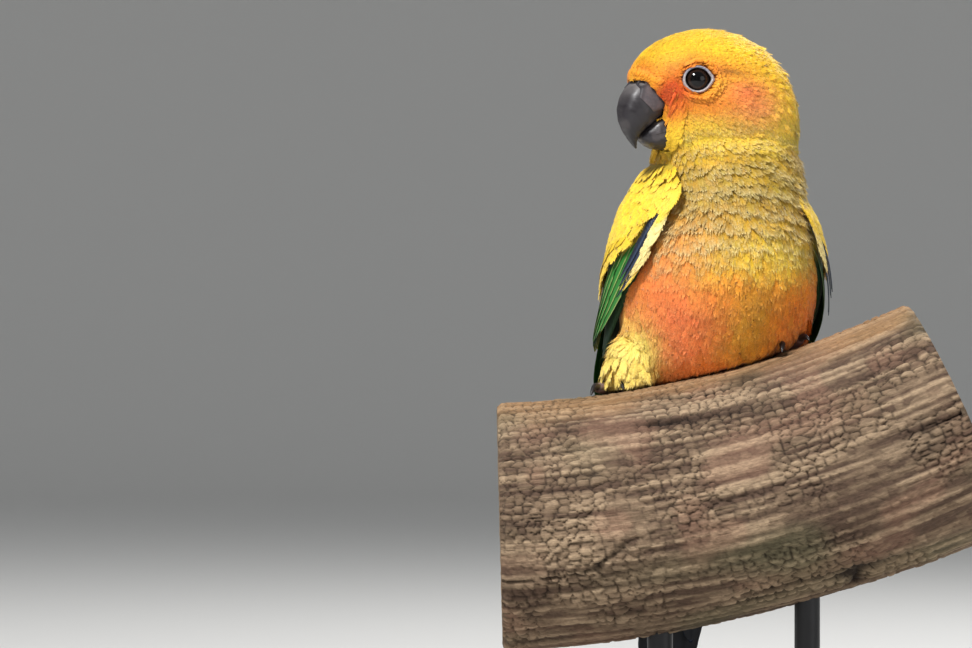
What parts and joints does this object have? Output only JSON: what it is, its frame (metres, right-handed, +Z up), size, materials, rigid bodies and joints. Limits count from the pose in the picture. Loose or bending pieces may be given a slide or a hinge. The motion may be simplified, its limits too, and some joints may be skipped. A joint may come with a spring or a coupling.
{
  "type": "sun conure",
  "caption": "Life-size perched sun conure, a small parrot with a long tail, gripping a cut branch on a flat display stand.",
  "frame": {"origin": "centre of the stand base's underside", "axes": "+Z up, +X to the bird's left, along the branch, and -Y ahead of its breast, which is turned 12 degrees towards +X"},
  "size_m": [0.1615, 0.147, 0.2519],
  "materials": {
    "plumage_head": "soft golden feathers, orange round the eye",
    "plumage_breast": "soft orange and yellow feathers",
    "plumage_wing": "smooth yellow, green and blue-black vanes",
    "plumage_tail": "smooth olive vanes with blue tips",
    "horn": "satin charcoal horn",
    "bare_skin": "matte pale grey skin",
    "eye": "wet dark brown, nearly black",
    "scaled_skin": "dusky scaled skin",
    "branch": "weathered bare wood with lengthwise cracks",
    "stand": "matte black paint"
  },
  "bodies": {
    "root": {"stand_base": "stand", "stand_rod_1": "stand", "stand_rod_2": "stand", "perch_branch": "branch", "head": "plumage_head", "neck": "plumage_head", "torso": "plumage_breast", "tail": "plumage_tail", "wing_left": "plumage_wing", "wing_right": "plumage_wing", "thigh_left": "plumage_breast", "thigh_right": "plumage_breast", "foot_left": "scaled_skin", "foot_right": "scaled_skin", "bill_upper": "horn", "bill_lower": "horn", "cere": "bare_skin", "eye_left": "eye", "eye_right": "eye", "eyelid_left": "bare_skin", "eyelid_right": "bare_skin", "claw_left_1": "horn", "claw_left_2": "horn", "claw_left_3": "horn", "claw_left_4": "horn", "claw_right_1": "horn", "claw_right_2": "horn", "claw_right_3": "horn", "claw_right_4": "horn"}
  },
  "joints": []
}
